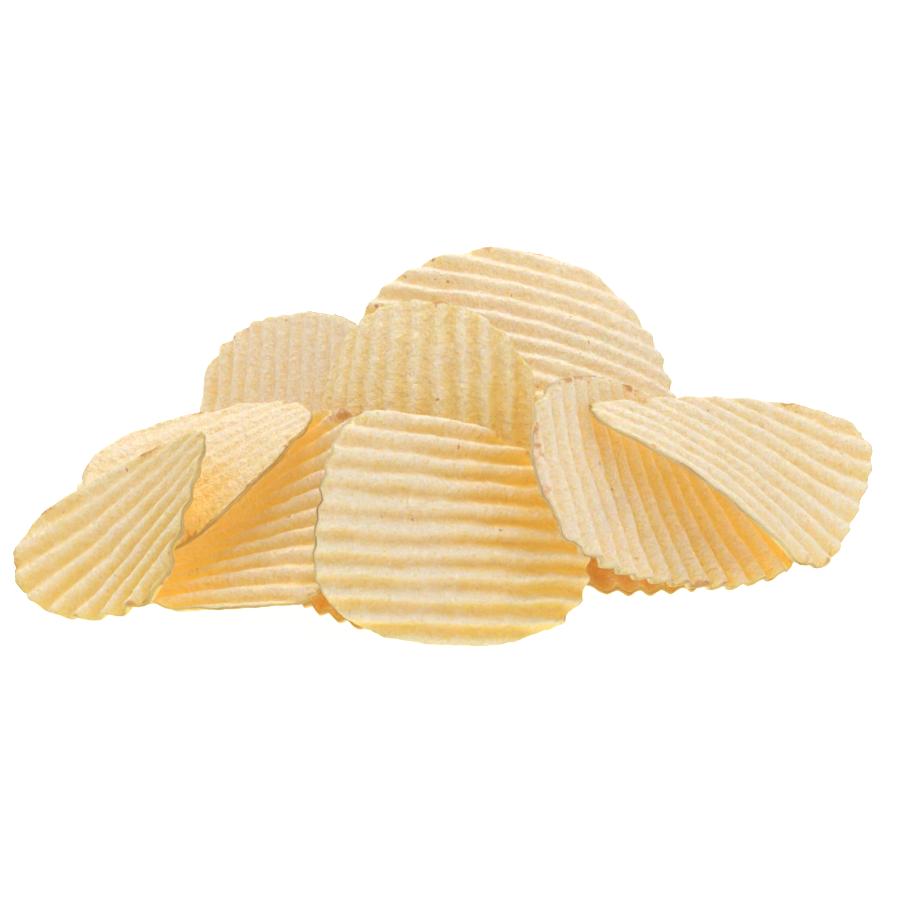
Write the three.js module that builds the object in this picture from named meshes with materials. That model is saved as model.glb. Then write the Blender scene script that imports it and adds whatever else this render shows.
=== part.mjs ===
// A loose pile of ridged potato crisps, as it lies on a flat surface: seventeen crinkle-cut
// slices, each a thin closed solid of its own.
//
// Millimetres and degrees, +Z up. The origin is on the surface, under the middle of the pile's
// box. +X runs along the pile's length, and its front faces -Y.

import * as THREE from 'three';

// What every slice shares.
const SLICE_THICKNESS = 1.4; // measured square to the slice
const RIDGE_HEIGHT = 1.6; // from a valley to a crest, where a slice gives no height of its own

// How finely a slice is built: rows lie on its crests and valleys, columns across them.
const ROWS_PER_RIDGE = 2;
const COLUMNS = 8;
const COLUMN_CROWDING = 0.94; // 0 spaces the columns evenly, 1 crowds them at the rim
const LAST_RIDGE_ROW = 0.985; // how far out a crest or valley row may lie, of half the breadth
const END_ROW = 0.99; // an extra row closes the slice here...
const END_ROW_GAP = 0.96; // ...if its last crest or valley row lies inside this

// The place in the pile's own layout that ends up over the origin, on the surface.
const PILE_MIDDLE = new THREE.Vector3(0, 24.7, 0.2);

// Fried potato, from hardly browned to well browned.
const PALE = 0xefd9a2;
const GOLDEN = 0xe8c27a;
const BROWNED = 0xdba450;
const ROUGHNESS = 0.6;

// The crisps, front to back.
//
// place:  at is the slice's middle. The slice starts flat on the surface with its ridges along
//         X; spin turns it in its own plane, lean tips it up about X, turn faces it round Z.
// slice:  length along the ridges, breadth across them. squareness 2 gives an ellipse, more a
//         squarer outline. taper widens the +breadth side, shear slants the outline, bow curves
//         its middle line; all three are shares of the size.
// bend:   curl is the angle that the slice curls through over its mean size, about an axis
//         curlAxis away from its ridges. cone is how much tighter it curls at one end of that
//         axis, cup the angle that it bends along the axis, fan how far its ridges spread.
// ridges: pitch from crest to crest, phase the distance of one crest from the slice's middle,
//         height from a valley to a crest. swell is how much higher they are at the slice's
//         +length end and swellAcross at its +breadth side, as shares.
const CRISPS = {
  front: {
    place: { at: [0.5, -22, 23.5], turn: 34, lean: 63, spin: -16 },
    slice: { length: 58, breadth: 46, squareness: 2.5, taper: -0.12, shear: -0.12, bow: -0.06 },
    bend: { curl: -63, curlAxis: -19, cone: -0.35, cup: -1, fan: -0.02 },
    ridges: { pitch: 4.3, phase: 16.25, swell: 0.2 },
    colour: GOLDEN,
  },
  front_low: {
    place: { at: [-9, -2, 4.5], turn: 31, lean: 3, spin: 21 },
    slice: { length: 48, breadth: 42, squareness: 2.3 },
    bend: { curl: -20 },
    ridges: { pitch: 4.5, height: 1.3 },
    colour: BROWNED,
  },
  far_left: {
    place: { at: [-62, -14.5, 17.5], turn: -54, lean: 53, spin: 67 },
    slice: { length: 45, breadth: 37, squareness: 2, taper: 0.64, shear: -0.1, bow: 0.02 },
    bend: { curl: 16, curlAxis: 15, cone: -0.65, cup: 10, fan: -0.42 },
    ridges: { pitch: 4.55, phase: 8.5, height: 1.2, swell: -0.5, swellAcross: -0.6 },
    colour: PALE,
  },
  left_upper: {
    place: { at: [-50, 3.5, 25.5], turn: -60, lean: 30, spin: 75 },
    slice: { length: 47, breadth: 40, squareness: 2.4, taper: 0.08, shear: -0.24, bow: -0.1 },
    bend: { curl: -28, curlAxis: -54, cone: 0.25, cup: 11, fan: -0.26 },
    ridges: { pitch: 5.1, phase: -15.5, height: 0.4, swell: 0.5 },
    colour: PALE,
  },
  left_fan: {
    place: { at: [-38.5, -7, 16.5], turn: -75, lean: 36, spin: 57 },
    slice: { length: 57, breadth: 49, squareness: 2.4, taper: 0.06, shear: -0.08, bow: 0.02 },
    bend: { curl: -52, curlAxis: 49, cone: 0.35, cup: 40, fan: 0.08 },
    ridges: { pitch: 4.3, phase: -19.75 },
    colour: GOLDEN,
  },
  back_left: {
    place: { at: [-33, 29.5, 24], turn: -51, lean: 62, spin: 116 },
    slice: { length: 49, breadth: 58, squareness: 2.4, taper: 0.02, shear: 0.1, bow: 0.02 },
    bend: { curl: 2, curlAxis: 54, cup: 15, fan: -0.04 },
    ridges: { pitch: 4.3, phase: 22, height: 0.7, swell: 0.3, swellAcross: 0.3 },
    colour: GOLDEN,
  },
  centre: {
    place: { at: [-6.5, 1.5, 34], turn: -15, lean: 52, spin: 98 },
    slice: { length: 55, breadth: 54, squareness: 2.4, taper: -0.02, shear: 0.12 },
    bend: { curl: -104, curlAxis: -5, cone: 0.1, cup: -11, fan: -0.04 },
    ridges: { pitch: 4.8, phase: -4, height: 1.1, swell: -0.4, swellAcross: -0.4 },
    colour: PALE,
  },
  back_top: {
    place: { at: [16.5, 29.5, 39], turn: 18, lean: 36, spin: -22 },
    slice: { length: 71, breadth: 55, squareness: 1.9, shear: -0.04, bow: 0.08 },
    bend: { curl: -52, curlAxis: -66, cone: 0.3, cup: 9, fan: 0.06 },
    ridges: { pitch: 4.45, phase: 21, height: 1.1, swell: -0.2 },
    colour: PALE,
  },
  right_fan: {
    place: { at: [38, -3, 23], turn: 59, lean: 57, spin: -104 },
    slice: { length: 43, breadth: 67, squareness: 2.7, taper: 0.06, shear: 0.26, bow: 0.1 },
    bend: { curl: 25, curlAxis: -65, cone: -1.2, cup: 5, fan: 0.12 },
    ridges: { pitch: 4.6, phase: -27, height: 1.4, swell: 0.3 },
    colour: GOLDEN,
  },
  right_upper: {
    place: { at: [61.5, 5, 26], turn: 59, lean: 45, spin: -58 },
    slice: { length: 53, breadth: 40, squareness: 2.9, taper: -0.36, shear: 0.72, bow: 0.02 },
    bend: { curl: 23, curlAxis: -31, cone: 1.2, cup: -27, fan: 0.18 },
    ridges: { pitch: 4.3, phase: -18.75, height: 0.9, swell: 0.4 },
    colour: PALE,
  },
  right_low: {
    place: { at: [37.5, 17.5, 5], turn: 20, lean: 6, spin: 81 },
    slice: { length: 50, breadth: 42, squareness: 2.3 },
    bend: { curl: -25 },
    ridges: { pitch: 4.5, height: 1.3 },
    colour: BROWNED,
  },
  rear_top: {
    place: { at: [-5.5, 56, 32], turn: -173, lean: 25, spin: 25 },
    slice: { length: 50, breadth: 46, squareness: 2.2 },
    bend: { curl: -30, curlAxis: 30, cup: 6 },
    ridges: { pitch: 4.5, height: 1.3 },
    colour: PALE,
  },
  rear_centre: {
    place: { at: [15, 55, 20.8], turn: -148, lean: 42, spin: -31 },
    slice: { length: 56, breadth: 52, squareness: 2.3 },
    bend: { curl: -35, curlAxis: 90, cup: 8 },
    ridges: { pitch: 4.5, phase: 1 },
    colour: GOLDEN,
  },
  rear_left: {
    place: { at: [-22.5, 58.5, 17], turn: -150, lean: 40, spin: 80 },
    slice: { length: 50, breadth: 47, squareness: 2.3 },
    bend: { curl: -30, curlAxis: 5, cup: 5 },
    ridges: { pitch: 4.5, phase: 2, height: 1.4, swell: 0.2 },
    colour: PALE,
  },
  rear_right: {
    place: { at: [50, 64, 12], turn: 165, lean: 27, spin: -91 },
    slice: { length: 46, breadth: 44, squareness: 2.4 },
    bend: { curl: -30, curlAxis: 10, cup: 5 },
    ridges: { pitch: 4.5, phase: -1 },
    colour: GOLDEN,
  },
  rear_far_left: {
    place: { at: [-69, 34.5, 11], turn: -112, lean: 29, spin: 44 },
    slice: { length: 37, breadth: 33, squareness: 2.2 },
    bend: { curl: -30, cup: 5 },
    ridges: { pitch: 4.5, phase: 0.5, height: 1.5 },
    colour: GOLDEN,
  },
  rear_far_right: {
    place: { at: [68, 40.5, 12], turn: 134, lean: 29, spin: 14 },
    slice: { length: 44, breadth: 40, squareness: 2.3 },
    bend: { curl: -40, curlAxis: 90, cup: 5 },
    ridges: { pitch: 4.5, phase: -0.5, height: 1.3 },
    colour: PALE,
  },
};

const ORIGIN = new THREE.Vector2(0, 0);
const UP = new THREE.Vector3(0, 0, 1);
const STRAIGHT = 1e-9; // a bend per mm that stands for none, so that nothing is divided by 0

const radians = THREE.MathUtils.degToRad;

// The outline's half length at a place across the breadth, from -1 to 1.
function halfLength(slice, across) {
  const { length, squareness, taper = 0 } = slice;
  const round = (1 - Math.abs(across) ** squareness) ** (1 / squareness);
  return (length / 2) * round * (1 + taper * across);
}

// Where the middle of the outline lies along the ridges at a place across the breadth.
function middleLine(slice, across) {
  const { length, breadth, shear = 0, bow = 0 } = slice;
  return shear * (breadth / 2) * across + bow * (length / 2) * (across ** 2 - 1 / 3);
}

// Places across the breadth, in mm, of the slice's rows: every crest and every valley, and a
// closing row at an end that they leave open.
function rowPlaces(slice, ridges) {
  const half = slice.breadth / 2;
  const step = ridges.pitch / ROWS_PER_RIDGE;
  const phase = ridges.phase ?? 0;
  const first = Math.ceil((-half * LAST_RIDGE_ROW - phase) / step);
  const last = Math.floor((half * LAST_RIDGE_ROW - phase) / step);
  const places = [];
  for (let k = first; k <= last; k += 1) {
    places.push(phase + k * step);
  }
  if (places[0] > -half * END_ROW_GAP) {
    places.unshift(-half * END_ROW);
  }
  if (places.at(-1) < half * END_ROW_GAP) {
    places.push(half * END_ROW);
  }
  return places;
}

// Places along a ridge, from -1 to 1, closer together towards the rim.
function columnPlaces() {
  const reach = (Math.PI / 2) * COLUMN_CROWDING;
  return Array.from({ length: COLUMNS }, (_, k) => {
    const even = -1 + (2 * k) / (COLUMNS - 1);
    return Math.sin(reach * even) / Math.sin(reach);
  });
}

// The bent slice's middle surface at a flat place (along, across) in mm, without its ridges,
// and the direction square to it.
function bentPoint(crisp, along, across) {
  const { length, breadth } = crisp.slice;
  const { curl, curlAxis = 0, cone = 0, cup = 0, fan = 0 } = crisp.bend;
  const size = (length + breadth) / 2;
  const spread = across * (1 + fan * along / (length / 2));

  // The flat place seen from the curl's axis: along it, and round it.
  const flat = new THREE.Vector2(along, spread).rotateAround(ORIGIN, -radians(curlAxis));
  const bendPerMm = (radians(curl) / size) * (1 + (2 * cone * flat.x) / size) || STRAIGHT;
  const angle = bendPerMm * flat.y;
  const normal = new THREE.Vector3(0, -Math.sin(angle), Math.cos(angle));
  const point = new THREE.Vector3(flat.x, Math.sin(angle), 1 - Math.cos(angle));
  point.y /= bendPerMm;
  point.z /= bendPerMm;
  const rise = ((radians(cup) / size) * flat.x ** 2) / 2;
  point.addScaledVector(normal, rise);

  point.applyAxisAngle(UP, radians(curlAxis));
  normal.applyAxisAngle(UP, radians(curlAxis));
  return { point, normal };
}

// How far the ridges lift the slice's middle surface at a flat place, in mm.
function ridgeWave(crisp, along, across) {
  const { length, breadth } = crisp.slice;
  const { pitch, phase = 0, height = RIDGE_HEIGHT, swell = 0, swellAcross = 0 } = crisp.ridges;
  const growth = 1 + (swell * along) / (length / 2);
  const growthAcross = 1 + (swellAcross * across) / (breadth / 2);
  const wave = Math.cos((2 * Math.PI * (across - phase)) / pitch);
  return (height / 2) * growth * growthAcross * wave;
}

// A closed ridged slice: an upper and a lower face of rows and columns, and the rim between.
function sliceGeometry(crisp) {
  const { slice, ridges } = crisp;
  const rows = rowPlaces(slice, ridges);
  const columns = columnPlaces();
  const upper = [];
  const lower = [];
  for (const across of rows) {
    const share = across / (slice.breadth / 2);
    for (const column of columns) {
      const along = middleLine(slice, share) + column * halfLength(slice, share);
      const { point, normal } = bentPoint(crisp, along, across);
      const wave = ridgeWave(crisp, along, across);
      upper.push(...point.clone().addScaledVector(normal, wave + SLICE_THICKNESS / 2));
      lower.push(...point.clone().addScaledVector(normal, wave - SLICE_THICKNESS / 2));
    }
  }

  const geometry = new THREE.BufferGeometry();
  geometry.setAttribute('position', new THREE.Float32BufferAttribute([...upper, ...lower], 3));
  geometry.setIndex(sliceTriangles(rows.length, columns.length));
  geometry.computeVertexNormals();
  return geometry;
}

// The triangles of a slice whose upper points come first and whose lower points follow, each
// row by row. All of them face out.
function sliceTriangles(rowCount, columnCount) {
  const lower = rowCount * columnCount;
  const at = (row, column) => row * columnCount + column;
  const triangles = [];
  const addQuad = (a, b, c, d) => triangles.push(a, b, c, a, c, d);
  for (let row = 0; row < rowCount - 1; row += 1) {
    for (let column = 0; column < columnCount - 1; column += 1) {
      const [a, b] = [at(row, column), at(row, column + 1)];
      const [c, d] = [at(row + 1, column + 1), at(row + 1, column)];
      addQuad(a, b, c, d);
      addQuad(lower + a, lower + d, lower + c, lower + b);
    }
  }
  const rim = rimOrder(rowCount, columnCount, at);
  rim.forEach((here, k) => {
    const next = rim[(k + 1) % rim.length];
    addQuad(here, lower + here, lower + next, next);
  });
  return triangles;
}

// The points of the rim in order: out along the first row, up the last column, back along the
// last row and down the first column.
function rimOrder(rowCount, columnCount, at) {
  const rim = [];
  for (let column = 0; column < columnCount; column += 1) {
    rim.push(at(0, column));
  }
  for (let row = 1; row < rowCount; row += 1) {
    rim.push(at(row, columnCount - 1));
  }
  for (let column = columnCount - 2; column >= 0; column -= 1) {
    rim.push(at(rowCount - 1, column));
  }
  for (let row = rowCount - 2; row > 0; row -= 1) {
    rim.push(at(row, 0));
  }
  return rim;
}

function crispMesh(name, crisp) {
  const { at, turn, lean, spin } = crisp.place;
  const material = new THREE.MeshStandardMaterial({
    color: crisp.colour,
    roughness: ROUGHNESS,
    metalness: 0,
  });
  const mesh = new THREE.Mesh(sliceGeometry(crisp), material);
  mesh.name = `crisp_${name}`;
  mesh.position.set(...at);
  mesh.rotateZ(radians(turn));
  mesh.rotateX(radians(lean));
  mesh.rotateZ(radians(spin));
  return mesh;
}

const layout = new THREE.Group();
layout.position.copy(PILE_MIDDLE).negate();
for (const [name, crisp] of Object.entries(CRISPS)) {
  layout.add(crispMesh(name, crisp));
}

const pile = new THREE.Group();
pile.add(layout);

export default pile;
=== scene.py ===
"""A loose pile of ridged potato crisps on a pale floor, in metres, +Z up.

Each crisp of the frame is replaced by a finely ridged, blistered slice of the same size in the
same place. One Geometry Nodes tree makes them all, and one material, in three degrees of
browning, covers them. The material paints shade into hollows, into the valleys of the ridges
and as pit-like spots, paints highlight glints on open places and a faint glow into the deepest
hollows; its brownest degree is also painted shade, for the crisps that lie low under the pile.
"""

import math

import bpy
from mathutils import Euler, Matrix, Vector


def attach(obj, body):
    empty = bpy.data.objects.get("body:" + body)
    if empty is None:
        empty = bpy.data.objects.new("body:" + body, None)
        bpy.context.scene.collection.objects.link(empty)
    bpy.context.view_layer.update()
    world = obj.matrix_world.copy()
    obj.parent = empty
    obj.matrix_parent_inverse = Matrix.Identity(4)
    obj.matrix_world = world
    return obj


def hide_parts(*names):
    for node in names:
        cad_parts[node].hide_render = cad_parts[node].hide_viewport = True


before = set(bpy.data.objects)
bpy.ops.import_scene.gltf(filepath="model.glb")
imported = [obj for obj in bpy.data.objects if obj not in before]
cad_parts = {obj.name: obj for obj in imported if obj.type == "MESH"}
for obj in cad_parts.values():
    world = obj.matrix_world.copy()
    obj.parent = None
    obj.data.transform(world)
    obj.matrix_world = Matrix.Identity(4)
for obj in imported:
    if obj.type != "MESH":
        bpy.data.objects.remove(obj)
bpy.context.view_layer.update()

MM = 0.001

# ---- What every slice shares, in millimetres ----

THICKNESS = 1.4
RIDGE_HEIGHT = 1.6  # from a valley to a crest, where a slice gives no height of its own
RIM_ROUNDING = 0.8  # how far in from the rim the two faces start to close
ROW_SPACING = 0.45  # mesh rows, across the ridges
COLUMN_SPACING = 0.62  # mesh columns, along the ridges
RIM_CROWDING = 0.3  # how much closer the rows and columns lie at the rim
WELD = 0.01  # how near each other the two faces' rims are joined

# How frying makes a slice uneven: pairs of a wavelength in mm and a height.
RIDGE_WANDER = ((13.0, 0.9), (3.6, 0.4))  # sideways, in mm
RIDGE_UNEVENNESS = (8.0, 0.5)  # as a share of a ridge's height
WIDE_BLISTERS = (6.0, 0.3)  # in mm
SMALL_BLISTERS = (1.4, 0.4)  # in mm

# How ragged the rim is: pairs of a wavelength, as a share of a crumb's, and a reach, as a share
# of the slice's half size, which is as long as CRUMBS_ACROSS crumbs.
CRUMBS_ACROSS = 5.0
CRUMBS = (1.0, 0.03)
FINE_CRUMBS = (0.3, 0.012)

# Steps between the patterns of two crisps, and from a crisp's middle to each of its faces.
CRISP_SEED = 100.0
FACE_SEED = 30.0

# Where the pile's own layout has its origin, as seen from the frame's.
PILE_MIDDLE = Vector((0.0, 24.7, 0.2))

# ---- The crisps, front to back ----
#
# place:  at is the slice's middle in the pile's layout. The slice starts flat with its ridges
#         along X; spin turns it in its own plane, lean tips it up about X, turn faces it.
# slice:  length along the ridges, breadth across them, squareness of the outline (2 is an
#         ellipse); taper, shear and bow bend the outline, as shares of the size.
# bend:   curl is the angle that the slice rolls through about an axis curl_axis away from its
#         ridges, cone how much tighter it rolls at one end, cup how far it bends along that
#         axis, fan how far its ridges spread.
# ridges: pitch from crest to crest, phase the distance of one crest from the middle, height
#         from a valley to a crest. swell is how much higher they are at the +length end and
#         swell_across at the +breadth side, as shares.
# tone:   how much more golden the slice is than its colour's others.

CRISPS = {
    "front": {
        "place": {"at": (0.5, -22, 23.5), "turn": 34, "lean": 63, "spin": -16},
        "slice": {"length": 58, "breadth": 46, "squareness": 2.5,
                  "taper": -0.12, "shear": -0.12, "bow": -0.06},
        "bend": {"curl": -63, "curl_axis": -19, "cone": -0.35, "cup": -1, "fan": -0.02},
        "ridges": {"pitch": 4.3, "phase": 16.25, "swell": 0.2},
        "colour": "golden",
        "tone": 0.05,
    },
    "front_low": {
        "place": {"at": (-9, -2, 4.5), "turn": 31, "lean": 3, "spin": 21},
        "slice": {"length": 48, "breadth": 42, "squareness": 2.3},
        "bend": {"curl": -20},
        "ridges": {"pitch": 4.5, "height": 1.3},
        "colour": "browned_and_shaded",
    },
    "far_left": {
        "place": {"at": (-62, -14.5, 17.5), "turn": -54, "lean": 53, "spin": 67},
        "slice": {"length": 45, "breadth": 37, "squareness": 2,
                  "taper": 0.64, "shear": -0.1, "bow": 0.02},
        "bend": {"curl": 16, "curl_axis": 15, "cone": -0.65, "cup": 10, "fan": -0.42},
        "ridges": {"pitch": 4.55, "phase": 8.5, "height": 1.2,
                   "swell": -0.5, "swell_across": -0.6},
        "colour": "pale",
        "tone": 0.5,
    },
    "left_upper": {
        "place": {"at": (-50, 3.5, 25.5), "turn": -60, "lean": 30, "spin": 75},
        "slice": {"length": 47, "breadth": 40, "squareness": 2.4,
                  "taper": 0.08, "shear": -0.24, "bow": -0.1},
        "bend": {"curl": -28, "curl_axis": -54, "cone": 0.25, "cup": 11, "fan": -0.26},
        "ridges": {"pitch": 5.1, "phase": -15.5, "height": 0.4, "swell": 0.5},
        "colour": "pale",
        "tone": 0.3,
    },
    "left_fan": {
        "place": {"at": (-38.5, -7, 16.5), "turn": -75, "lean": 36, "spin": 57},
        "slice": {"length": 57, "breadth": 49, "squareness": 2.4,
                  "taper": 0.06, "shear": -0.08, "bow": 0.02},
        "bend": {"curl": -52, "curl_axis": 49, "cone": 0.35, "cup": 40, "fan": 0.08},
        "ridges": {"pitch": 4.3, "phase": -19.75},
        "colour": "golden",
        "tone": 0.1,
    },
    "back_left": {
        "place": {"at": (-33, 29.5, 24), "turn": -51, "lean": 62, "spin": 116},
        "slice": {"length": 49, "breadth": 58, "squareness": 2.4,
                  "taper": 0.02, "shear": 0.1, "bow": 0.02},
        "bend": {"curl": 2, "curl_axis": 54, "cup": 15, "fan": -0.04},
        "ridges": {"pitch": 4.3, "phase": 22, "height": 0.7,
                   "swell": 0.3, "swell_across": 0.3},
        "colour": "golden",
        "tone": -0.1,
    },
    "centre": {
        "place": {"at": (-6.5, 1.5, 34), "turn": -15, "lean": 52, "spin": 98},
        "slice": {"length": 55, "breadth": 54, "squareness": 2.4, "taper": -0.02, "shear": 0.12},
        "bend": {"curl": -104, "curl_axis": -5, "cone": 0.1, "cup": -11, "fan": -0.04},
        "ridges": {"pitch": 4.8, "phase": -4, "height": 1.1,
                   "swell": -0.4, "swell_across": -0.4},
        "colour": "pale",
        "tone": 0.45,
    },
    "back_top": {
        "place": {"at": (16.5, 29.5, 39), "turn": 18, "lean": 36, "spin": -22},
        "slice": {"length": 71, "breadth": 55, "squareness": 1.9, "shear": -0.04, "bow": 0.08},
        "bend": {"curl": -52, "curl_axis": -66, "cone": 0.3, "cup": 9, "fan": 0.06},
        "ridges": {"pitch": 4.45, "phase": 21, "height": 1.1, "swell": -0.2},
        "colour": "pale",
    },
    "right_fan": {
        "place": {"at": (38, -3, 23), "turn": 59, "lean": 57, "spin": -104},
        "slice": {"length": 43, "breadth": 67, "squareness": 2.7,
                  "taper": 0.06, "shear": 0.26, "bow": 0.1},
        "bend": {"curl": 25, "curl_axis": -65, "cone": -1.2, "cup": 5, "fan": 0.12},
        "ridges": {"pitch": 4.6, "phase": -27, "height": 1.4, "swell": 0.3},
        "colour": "golden",
        "tone": -0.15,
    },
    "right_upper": {
        "place": {"at": (61.5, 5, 26), "turn": 59, "lean": 45, "spin": -58},
        "slice": {"length": 53, "breadth": 40, "squareness": 2.9,
                  "taper": -0.36, "shear": 0.72, "bow": 0.02},
        "bend": {"curl": 23, "curl_axis": -31, "cone": 1.2, "cup": -27, "fan": 0.18},
        "ridges": {"pitch": 4.3, "phase": -18.75, "height": 0.9, "swell": 0.4},
        "colour": "pale",
        "tone": 0.2,
    },
    "right_low": {
        "place": {"at": (37.5, 17.5, 5), "turn": 20, "lean": 6, "spin": 81},
        "slice": {"length": 50, "breadth": 42, "squareness": 2.3},
        "bend": {"curl": -25},
        "ridges": {"pitch": 4.5, "height": 1.3},
        "colour": "browned_and_shaded",
    },
    # The rear crisps are all 0.2 more golden, as painted shade that holds down the back lamps' strong
    # light on them.
    "rear_top": {
        "place": {"at": (-5.5, 56, 32), "turn": -173, "lean": 25, "spin": 25},
        "slice": {"length": 50, "breadth": 46, "squareness": 2.2},
        "bend": {"curl": -30, "curl_axis": 30, "cup": 6},
        "ridges": {"pitch": 4.5, "height": 1.3},
        "colour": "pale",
        "tone": 0.2,
    },
    "rear_centre": {
        "place": {"at": (15, 55, 20.8), "turn": -148, "lean": 42, "spin": -31},
        "slice": {"length": 56, "breadth": 52, "squareness": 2.3},
        "bend": {"curl": -35, "curl_axis": 90, "cup": 8},
        "ridges": {"pitch": 4.5, "phase": 1},
        "colour": "golden",
        "tone": 0.2,
    },
    "rear_left": {
        "place": {"at": (-22.5, 58.5, 17), "turn": -150, "lean": 40, "spin": 80},
        "slice": {"length": 50, "breadth": 47, "squareness": 2.3},
        "bend": {"curl": -30, "curl_axis": 5, "cup": 5},
        "ridges": {"pitch": 4.5, "phase": 2, "height": 1.4, "swell": 0.2},
        "colour": "pale",
        "tone": 0.2,
    },
    "rear_right": {
        "place": {"at": (50, 64, 12), "turn": 165, "lean": 27, "spin": -91},
        "slice": {"length": 46, "breadth": 44, "squareness": 2.4},
        "bend": {"curl": -30, "curl_axis": 10, "cup": 5},
        "ridges": {"pitch": 4.5, "phase": -1},
        "colour": "golden",
        "tone": 0.2,
    },
    "rear_far_left": {
        "place": {"at": (-69, 34.5, 11), "turn": -112, "lean": 29, "spin": 44},
        "slice": {"length": 37, "breadth": 33, "squareness": 2.2},
        "bend": {"curl": -30, "cup": 5},
        "ridges": {"pitch": 4.5, "phase": 0.5, "height": 1.5},
        "colour": "golden",
        "tone": 0.2,
    },
    "rear_far_right": {
        "place": {"at": (68, 40.5, 12), "turn": 134, "lean": 29, "spin": 14},
        "slice": {"length": 44, "breadth": 40, "squareness": 2.3},
        "bend": {"curl": -40, "curl_axis": 90, "cup": 5},
        "ridges": {"pitch": 4.5, "phase": -0.5, "height": 1.3},
        "colour": "pale",
        "tone": 0.2,
    },
}


# ---- Node trees as plain sums ----


class Field:
    """A number that a node tree works out, to be reckoned with like any other number."""

    def __init__(self, tree, socket):
        self.tree = tree
        self.socket = socket

    def math(self, operation, *others):
        return reckoned(self.tree, operation, self, *others)

    def __add__(self, other):
        return self.math("ADD", other)

    def __sub__(self, other):
        return self.math("SUBTRACT", other)

    def __mul__(self, other):
        return self.math("MULTIPLY", other)

    def __truediv__(self, other):
        return self.math("DIVIDE", other)

    def __pow__(self, other):
        return self.math("POWER", other)

    def __neg__(self):
        return self.math("MULTIPLY", -1.0)

    __radd__ = __add__
    __rmul__ = __mul__

    def __rsub__(self, other):
        return reckoned(self.tree, "SUBTRACT", other, self)

    def __rtruediv__(self, other):
        return reckoned(self.tree, "DIVIDE", other, self)

    def at_least(self, other):
        return self.math("MAXIMUM", other)

    def at_most(self, other):
        return self.math("MINIMUM", other)

    def cos(self):
        return self.math("COSINE")

    def sin(self):
        return self.math("SINE")

    def size(self):
        return self.math("ABSOLUTE")

    def root(self):
        return self.math("SQRT")

    def radians(self):
        return self.math("RADIANS")

    def ramp(self, start, end):
        """0 at start, 1 at end, smooth between."""
        node = self.tree.nodes.new("ShaderNodeMapRange")
        node.interpolation_type = "SMOOTHSTEP"
        feed(self.tree, node.inputs["Value"], self)
        feed(self.tree, node.inputs["From Min"], start)
        feed(self.tree, node.inputs["From Max"], end)
        return Field(self.tree, node.outputs["Result"])


def reckoned(tree, operation, *values):
    node = tree.nodes.new("ShaderNodeMath")
    node.operation = operation
    for socket, value in zip(node.inputs, values):
        feed(tree, socket, value)
    return Field(tree, node.outputs[0])


def feed(tree, socket, value):
    """Give a socket a field, another socket's value or a plain number."""
    if isinstance(value, Field):
        tree.links.new(value.socket, socket)
    elif isinstance(value, bpy.types.NodeSocket):
        tree.links.new(value, socket)
    else:
        socket.default_value = value


def vector(tree, x, y, z):
    node = tree.nodes.new("ShaderNodeCombineXYZ")
    for socket, value in zip(node.inputs, (x, y, z)):
        feed(tree, socket, value)
    return node.outputs[0]


def parts(tree, socket):
    node = tree.nodes.new("ShaderNodeSeparateXYZ")
    tree.links.new(socket, node.inputs[0])
    return [Field(tree, output) for output in node.outputs]


def noise(tree, place, wavelength, detail=1.0, roughness=0.5):
    """Smooth noise from about -1 to 1, with humps about a wavelength apart."""
    node = tree.nodes.new("ShaderNodeTexNoise")
    tree.links.new(place, node.inputs["Vector"])
    node.inputs["Scale"].default_value = 1.0 / wavelength
    node.inputs["Detail"].default_value = detail
    node.inputs["Roughness"].default_value = roughness
    return (Field(tree, node.outputs["Fac"]) - 0.5) * 2.0


def humps(tree, place, size, detail=1.0, roughness=0.5):
    """Smooth noise of a size given as its wavelength and its height."""
    wavelength, height = size
    return noise(tree, place, wavelength, detail, roughness) * height


# ---- The slice ----

SLICE_INPUTS = {
    "Columns": "NodeSocketInt",
    "Rows": "NodeSocketInt",
    "Length": "NodeSocketFloat",
    "Breadth": "NodeSocketFloat",
    "Squareness": "NodeSocketFloat",
    "Taper": "NodeSocketFloat",
    "Shear": "NodeSocketFloat",
    "Bow": "NodeSocketFloat",
    "Curl": "NodeSocketFloat",
    "Curl Axis": "NodeSocketFloat",
    "Cone": "NodeSocketFloat",
    "Cup": "NodeSocketFloat",
    "Fan": "NodeSocketFloat",
    "Pitch": "NodeSocketFloat",
    "Phase": "NodeSocketFloat",
    "Height": "NodeSocketFloat",
    "Swell": "NodeSocketFloat",
    "Swell Across": "NodeSocketFloat",
    "Tone": "NodeSocketFloat",
    "Seed": "NodeSocketFloat",
    "Spin": "NodeSocketVector",
    "Tilt": "NodeSocketVector",
    "Place": "NodeSocketVector",
    "Skin": "NodeSocketMaterial",
}

SMALLEST = 1e-6  # keeps a divisor off zero


def flat_outline(tree, given):
    """Spread a square grid over the slice's outline.

    Returns the flat place along and across the ridges in mm, and the distance from the rim.
    """
    x, y, _ = parts(tree, tree.nodes.new("GeometryNodeInputPosition").outputs[0])
    x = x * (1 + RIM_CROWDING) - x * x * x * RIM_CROWDING
    y = y * (1 + RIM_CROWDING) - y * y * y * RIM_CROWDING
    ring = x.size().at_least(y.size())
    power = given["Squareness"]
    span = (x.size() ** power + y.size() ** power) ** (1.0 / power)
    squeeze = ring / span.at_least(SMALLEST)

    where = vector(tree, x * squeeze * CRUMBS_ACROSS, y * squeeze * CRUMBS_ACROSS, given["Seed"])
    crumbs = humps(tree, where, CRUMBS, detail=3.0) + humps(tree, where, FINE_CRUMBS)
    ragged = 1.0 + crumbs * ring ** 4.0
    out = x * squeeze * ragged
    share = y * squeeze * ragged

    half_length = given["Length"] * 0.5
    half_breadth = given["Breadth"] * 0.5
    middle = given["Shear"] * half_breadth * share + given["Bow"] * half_length * (share * share - 1 / 3)
    along = middle + out * half_length * (1.0 + given["Taper"] * share)
    across = half_breadth * share
    from_rim = (1.0 - ring) * half_breadth.at_most(half_length)
    return along, across, from_rim


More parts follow.
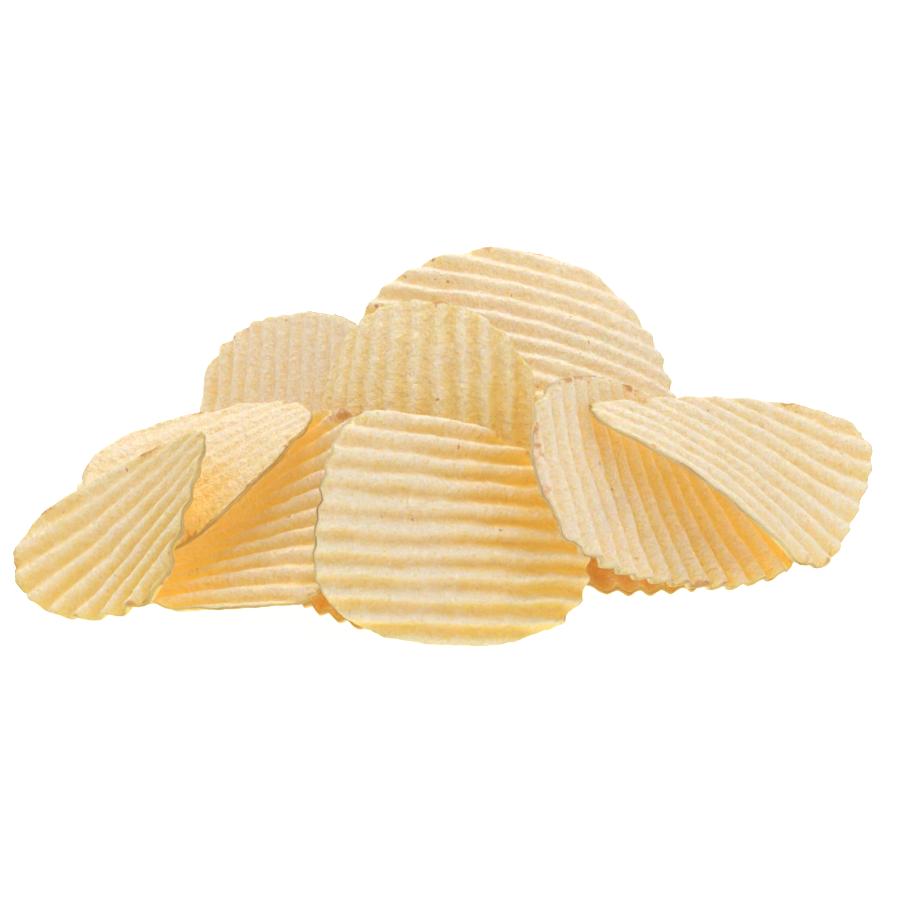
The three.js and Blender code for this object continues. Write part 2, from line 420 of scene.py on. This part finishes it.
def bent_surface(tree, given, along, across):
    """The bent slice without its ridges: each point, and the direction square to it."""
    size = (given["Length"] + given["Breadth"]) * 0.5
    spread = across * (1.0 + given["Fan"] * along / (given["Length"] * 0.5))
    axis = given["Curl Axis"].radians()
    east = axis.cos()
    north = axis.sin()
    down_axis = along * east + spread * north
    round_axis = spread * east - along * north

    bend = given["Curl"].radians() / size * (1.0 + given["Cone"] * 2.0 * down_axis / size)
    bend = bend + SMALLEST
    angle = bend * round_axis
    rise = given["Cup"].radians() / size * 0.5 * down_axis * down_axis
    sideways = angle.sin() / bend - angle.sin() * rise
    upwards = (1.0 - angle.cos()) / bend + angle.cos() * rise

    point = (down_axis * east - sideways * north, down_axis * north + sideways * east, upwards)
    square = (angle.sin() * north, -angle.sin() * east, angle.cos())
    return point, square


def ridge_height(tree, given, along, across, where):
    """The wave of the ridges: its height in mm, and the same as a share of a full ridge's, from
    -1 in a valley to 1 on a crest."""
    long_wander, short_wander = RIDGE_WANDER
    drift = humps(tree, where, long_wander) + humps(tree, where, short_wander)
    turn = (across + drift - given["Phase"]) / given["Pitch"] * (2 * math.pi)
    uneven = 1.0 + humps(tree, where, RIDGE_UNEVENNESS)
    growth = 1.0 + given["Swell"] * along / (given["Length"] * 0.5)
    growth_across = 1.0 + given["Swell Across"] * across / (given["Breadth"] * 0.5)
    wave = turn.cos() * growth * growth_across * given["Height"]
    return wave * uneven * 0.5, wave / RIDGE_HEIGHT


def blisters(tree, along, across, depth):
    """Low humps and pits that frying leaves on one face, in mm."""
    where = vector(tree, along, across, depth)
    wide = humps(tree, where, WIDE_BLISTERS)
    small = humps(tree, where, SMALL_BLISTERS, detail=2.0, roughness=0.6)
    return wide + small


def store(tree, geometry, name, value, kind="FLOAT"):
    node = tree.nodes.new("GeometryNodeStoreNamedAttribute")
    node.data_type = kind
    node.domain = "POINT"
    tree.links.new(geometry, node.inputs["Geometry"])
    node.inputs["Name"].default_value = name
    feed(tree, node.inputs["Value"], value)
    return node.outputs[0]


def moved(tree, geometry, point):
    node = tree.nodes.new("GeometryNodeSetPosition")
    tree.links.new(geometry, node.inputs["Geometry"])
    tree.links.new(point, node.inputs["Position"])
    return node.outputs[0]


def turned(tree, geometry, rotation, translation=None, scale=1.0):
    node = tree.nodes.new("GeometryNodeTransform")
    tree.links.new(geometry, node.inputs["Geometry"])
    tree.links.new(rotation.socket, node.inputs["Rotation"])
    if translation:
        tree.links.new(translation.socket, node.inputs["Translation"])
    node.inputs["Scale"].default_value = (scale, scale, scale)
    return node.outputs[0]


def slice_tree():
    """The tree that makes one slice in millimetres and lays it in its place in metres."""
    tree = bpy.data.node_groups.new("ridged_slice", "GeometryNodeTree")
    tree.is_modifier = True
    tree.interface.new_socket("Slice", in_out="OUTPUT", socket_type="NodeSocketGeometry")
    for name, kind in SLICE_INPUTS.items():
        tree.interface.new_socket(name, in_out="INPUT", socket_type=kind)
    group = tree.nodes.new("NodeGroupInput")
    given = {name: Field(tree, group.outputs[name]) for name in SLICE_INPUTS}

    grid = tree.nodes.new("GeometryNodeMeshGrid")
    grid.inputs["Size X"].default_value = 2.0
    grid.inputs["Size Y"].default_value = 2.0
    feed(tree, grid.inputs["Vertices X"], given["Columns"])
    feed(tree, grid.inputs["Vertices Y"], given["Rows"])

    along, across, from_rim = flat_outline(tree, given)
    where = vector(tree, along, across, given["Seed"])
    height, wave = ridge_height(tree, given, along, across, where)
    point, square = bent_surface(tree, given, along, across)
    closing = (1.0 - from_rim / RIM_ROUNDING).at_least(0.0)
    half = (1.0 - closing * closing).at_least(0.0).root()

    faces = tree.nodes.new("GeometryNodeJoinGeometry")
    for side in (-1.0, 1.0):
        depth = given["Seed"] + side * FACE_SEED
        skin = blisters(tree, along, across, depth)
        lift = height + (skin + THICKNESS / 2) * half * side
        place = vector(tree, *(p + s * lift for p, s in zip(point, square)))
        pattern = vector(tree, along, across, depth)
        face = store(tree, grid.outputs["Mesh"], "ridge", wave * side)
        face = store(tree, face, "rim", from_rim)
        face = store(tree, face, "tone", given["Tone"])
        face = store(tree, face, "flat", pattern, "FLOAT_VECTOR")
        face = moved(tree, face, place)
        if side < 0:
            flip = tree.nodes.new("GeometryNodeFlipFaces")
            tree.links.new(face, flip.inputs[0])
            face = flip.outputs[0]
        tree.links.new(face, faces.inputs[0])

    weld = tree.nodes.new("GeometryNodeMergeByDistance")
    tree.links.new(faces.outputs[0], weld.inputs["Geometry"])
    weld.inputs["Distance"].default_value = WELD
    smooth = tree.nodes.new("GeometryNodeSetShadeSmooth")
    tree.links.new(weld.outputs[0], smooth.inputs["Geometry"])
    spun = turned(tree, smooth.outputs[0], given["Spin"])
    laid = turned(tree, spun, given["Tilt"], given["Place"], MM)

    realize = tree.nodes.new("GeometryNodeRealizeInstances")
    tree.links.new(laid, realize.inputs[0])
    skinned = tree.nodes.new("GeometryNodeSetMaterial")
    tree.links.new(realize.outputs[0], skinned.inputs["Geometry"])
    tree.links.new(given["Skin"].socket, skinned.inputs["Material"])
    output = tree.nodes.new("NodeGroupOutput")
    tree.links.new(skinned.outputs[0], output.inputs[0])
    return tree


def slice_values(crisp, seed, skin):
    """What the tree is given for one crisp."""
    place, outline = crisp["place"], crisp["slice"]
    bend, ridges = crisp["bend"], crisp["ridges"]
    return {
        "Columns": round(outline["length"] / COLUMN_SPACING),
        "Rows": round(outline["breadth"] / ROW_SPACING),
        "Length": outline["length"],
        "Breadth": outline["breadth"],
        "Squareness": outline["squareness"],
        "Taper": outline.get("taper", 0.0),
        "Shear": outline.get("shear", 0.0),
        "Bow": outline.get("bow", 0.0),
        "Curl": bend["curl"],
        "Curl Axis": bend.get("curl_axis", 0.0),
        "Cone": bend.get("cone", 0.0),
        "Cup": bend.get("cup", 0.0),
        "Fan": bend.get("fan", 0.0),
        "Pitch": ridges["pitch"],
        "Phase": ridges.get("phase", 0.0),
        "Height": ridges.get("height", RIDGE_HEIGHT),
        "Swell": ridges.get("swell", 0.0),
        "Swell Across": ridges.get("swell_across", 0.0),
        "Tone": crisp.get("tone", 0.0),
        "Seed": seed * CRISP_SEED,
        "Spin": (0.0, 0.0, math.radians(place["spin"])),
        "Tilt": (math.radians(place["lean"]), 0.0, math.radians(place["turn"])),
        "Place": tuple((Vector(place["at"]) - PILE_MIDDLE) * MM),
        "Skin": skin,
    }


def make_crisp(name, tree, values):
    """Run the tree once and keep what it makes as a plain mesh."""
    maker = bpy.data.objects.new("maker", bpy.data.meshes.new("maker"))
    bpy.context.scene.collection.objects.link(maker)
    modifier = maker.modifiers.new("slice", "NODES")
    modifier.node_group = tree
    for item in tree.interface.items_tree:
        if item.in_out == "INPUT":
            value = values[item.name]
            wants_number = item.socket_type == "NodeSocketFloat"
            modifier[item.identifier] = float(value) if wants_number else value
    shaped = maker.evaluated_get(bpy.context.evaluated_depsgraph_get())
    mesh = bpy.data.meshes.new_from_object(shaped)
    mesh.name = name
    bpy.data.objects.remove(maker)
    crisp = bpy.data.objects.new(name, mesh)
    bpy.context.scene.collection.objects.link(crisp)
    return crisp


# ---- The fried potato ----

PAINTED_SHADE_REACH = 25 * MM  # how near another surface still casts painted shade
GLOW = 0.22  # the strength of the painted glow that stands for the light coming through in the deepest hollows
SOFTNESS = 3 * MM  # how far light spreads under the surface
GRAIN_DEPTH = 0.5 * MM  # of the finest bumps on the surface

# Colours that every degree of browning shares.
# painted highlight: the near-white of oily glints on open places
GLINT_WHITE = (1.0, 0.90, 0.80)
TOASTED = (0.84, 0.52, 0.17)
CRUST = (0.92, 0.62, 0.20)
BROWNED_RIM = (0.68, 0.33, 0.07)
FRECKLE = (0.55, 0.25, 0.05)


def mixed(tree, share, first, second):
    """A colour part of the way from the first to the second."""
    node = tree.nodes.new("ShaderNodeMix")
    node.data_type = "RGBA"
    feed(tree, node.inputs[0], share)
    for socket, colour in ((node.inputs[6], first), (node.inputs[7], second)):
        feed(tree, socket, colour if isinstance(colour, bpy.types.NodeSocket) else (*colour, 1.0))
    return node.outputs[2]


def stored(tree, name, output="Fac"):
    node = tree.nodes.new("ShaderNodeAttribute")
    node.attribute_name = name
    return node.outputs[output]


def shade_to_paint(tree):
    """How much of the sky a place can't see, from 0 to 1: the mask of painted shade."""
    node = tree.nodes.new("ShaderNodeAmbientOcclusion")
    node.samples = 3
    node.inputs["Distance"].default_value = PAINTED_SHADE_REACH
    return 1.0 - Field(tree, node.outputs["AO"])


def fried_potato(name, open_colour, painted_shade_colour, browning):
    """Dry fried potato with a film of oil: pale where it lies open, browner at the rim. Painted shade
    turns it golden where the light has to come through other crisps and in the valleys of the
    ridges, painted highlight glints lie on the open places, and a faint painted glow stands for
    the light that comes through, only in the deep hollows."""
    material = bpy.data.materials.new(name)
    material.use_nodes = True
    tree = material.node_tree
    shader = tree.nodes["Principled BSDF"]

    flat = stored(tree, "flat", "Vector")
    ridge = Field(tree, stored(tree, "ridge"))
    rim = Field(tree, stored(tree, "rim"))
    tone = Field(tree, stored(tree, "tone"))
    # painted shade: how hidden each place is from the sky
    painted_shade = shade_to_paint(tree)
    patches = noise(tree, flat, 11.0)
    specks = noise(tree, flat, 2.3, detail=2.0, roughness=0.6)
    grain = noise(tree, flat, 0.8, detail=2.0, roughness=0.7)

    # painted shade and light: the valleys of the ridges turn more golden and the crests paler; the noise
    # is the potato's own uneven colour
    uneven = ridge * -0.35 + patches * 0.25 + specks * 0.3 + grain * 0.5
    # painted shade: places hidden from the sky, and the valleys, move towards the shade colour, on top
    # of the crisp's own tone
    golden = (uneven + tone + painted_shade * 1.3).ramp(-0.1, 1.2)
    colour = mixed(tree, golden, open_colour, painted_shade_colour)
    # painted highlight: near-white glints, fading out where the painted shade turns the colour golden
    painted_glints = noise(tree, flat, 0.6).ramp(0.05, 0.35) * (1.0 - golden) * 0.55
    colour = mixed(tree, painted_glints, colour, GLINT_WHITE)
    # painted shade: small spots in the shade colour, as if in little pits
    painted_pit_shade = noise(tree, flat, 1.0).ramp(0.1, 0.5) * 0.6
    colour = mixed(tree, painted_pit_shade, colour, painted_shade_colour)
    toasted = (specks + patches * 0.3).ramp(0.35, 0.9) * 0.4
    colour = mixed(tree, toasted, colour, TOASTED)
    crust = (1.0 - rim).ramp(0.0, 0.8) * 0.25
    colour = mixed(tree, crust, colour, CRUST)
    edge = (0.5 - rim * 0.6 + patches * 2.4 + specks * 1.6).ramp(0.5, 1.3) * browning
    colour = mixed(tree, edge, colour, BROWNED_RIM)
    freckles = noise(tree, flat, 1.6, detail=0.0).ramp(0.62, 0.74) * 0.7
    colour = mixed(tree, freckles, colour, FRECKLE)
    tree.links.new(colour, shader.inputs["Base Color"])
    # painted light: a glow in the deepest hollows, standing for light that comes through other crisps
    glow = painted_shade.ramp(0.55, 1.0) * GLOW
    tree.links.new(colour, shader.inputs["Emission Color"])
    tree.links.new(glow.socket, shader.inputs["Emission Strength"])

    gloss = (grain * 0.15 + 0.42).at_least(0.2)
    tree.links.new(gloss.socket, shader.inputs["Roughness"])
    shader.inputs["Specular IOR Level"].default_value = 0.5
    soft = (0.9 - edge * 0.6 - freckles).at_least(0.0)
    tree.links.new(soft.socket, shader.inputs["Subsurface Weight"])
    shader.inputs["Subsurface Radius"].default_value = (1.0, 0.65, 0.25)
    shader.inputs["Subsurface Scale"].default_value = SOFTNESS

    fine = grain * 0.6 + noise(tree, flat, 1.2) * 0.7
    bump = tree.nodes.new("ShaderNodeBump")
    bump.inputs["Strength"].default_value = 1.0
    bump.inputs["Distance"].default_value = GRAIN_DEPTH
    tree.links.new(fine.socket, bump.inputs["Height"])
    tree.links.new(bump.outputs[0], shader.inputs["Normal"])
    return material


# Each degree: its open colour, its painted shade colour, and how brown its rim gets.
POTATO = {
    "pale": fried_potato("potato_pale", (0.98, 0.80, 0.66), (0.93, 0.66, 0.17), 0.8),
    "golden": fried_potato("potato_golden", (0.98, 0.78, 0.62), (0.93, 0.65, 0.14), 0.9),
    # the brownest degree is darker also as painted shade, for the crisps that lie low under the pile
    "browned_and_shaded": fried_potato("potato_browned", (0.86, 0.58, 0.2), (0.76, 0.47, 0.07), 0.8),
}


# ---- The pile ----

slice_maker = slice_tree()
for number, (name, crisp) in enumerate(CRISPS.items()):
    values = slice_values(crisp, number + 1, POTATO[crisp["colour"]])
    fine_crisp = make_crisp(f"ridged_crisp_{name}", slice_maker, values)
    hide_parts(f"crisp_{name}")
    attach(fine_crisp, "root")


# ---- Floor, light and camera ----

FLOOR_WIDTH = 20.0
FLOOR_GLOW = 0.95  # white enough that nothing casts a shadow on it
SKY = 0.6


def make_floor():
    bpy.ops.mesh.primitive_plane_add(size=FLOOR_WIDTH)
    floor = bpy.context.object
    floor.name = "floor"
    material = bpy.data.materials.new("pale_floor")
    material.use_nodes = True
    shader = material.node_tree.nodes["Principled BSDF"]
    shader.inputs["Base Color"].default_value = (0.2, 0.2, 0.2, 1.0)
    shader.inputs["Roughness"].default_value = 0.9
    shader.inputs["Emission Color"].default_value = (1.0, 1.0, 1.0, 1.0)
    shader.inputs["Emission Strength"].default_value = FLOOR_GLOW
    floor.data.materials.append(material)


def add_lamp(name, place, aim, size, power, colour=(1.0, 1.0, 1.0)):
    lamp = bpy.data.lights.new(name, "AREA")
    lamp.shape = "DISK"
    lamp.size = size
    lamp.energy = power
    lamp.color = colour
    holder = bpy.data.objects.new(name, lamp)
    holder.location = place
    holder.rotation_euler = (Vector(aim) - Vector(place)).to_track_quat("-Z", "Y").to_euler()
    bpy.context.scene.collection.objects.link(holder)


def light_studio():
    world = bpy.data.worlds.new("studio")
    world.use_nodes = True
    sky = world.node_tree.nodes["Background"]
    sky.inputs["Color"].default_value = (1.0, 1.0, 1.0, 1.0)
    sky.inputs["Strength"].default_value = SKY
    bpy.context.scene.world = world
    middle = (0.0, 0.0, 0.03)
    add_lamp("back_softbox", (0.1, 0.45, 0.7), middle, 0.25, 1.75, (1.0, 0.93, 0.94))
    add_lamp("left_softbox", (-0.4, 0.4, 0.6), middle, 0.25, 1.3, (1.0, 0.93, 0.93))
    add_lamp("top_softbox", (0.1, 0.0, 0.8), middle, 0.25, 1.3, (1.0, 0.94, 0.94))
    add_lamp("right_fill", (0.5, -0.5, 0.5), middle, 0.2, 0.5, (1.0, 0.96, 0.94))


CAMERA_ELEVATION = math.radians(22)
CAMERA_DISTANCE = 0.495
CAMERA_LENS = 100.0  # on a 36 mm wide sensor
CAMERA_TARGET = (Vector((0.0, 0.0, 30.0)) - PILE_MIDDLE) * MM


def place_camera():
    camera = bpy.data.cameras.new("camera")
    camera.lens = CAMERA_LENS
    camera.sensor_width = 36.0
    camera.clip_start = 0.01
    holder = bpy.data.objects.new("camera", camera)
    away = Vector((0.0, -math.cos(CAMERA_ELEVATION), math.sin(CAMERA_ELEVATION)))
    holder.location = CAMERA_TARGET + away * CAMERA_DISTANCE
    holder.rotation_euler = Euler((math.pi / 2 - CAMERA_ELEVATION, 0.0, 0.0))
    bpy.context.scene.collection.objects.link(holder)
    bpy.context.scene.camera = holder


make_floor()
light_studio()
place_camera()
bpy.context.scene.view_settings.view_transform = "Standard"
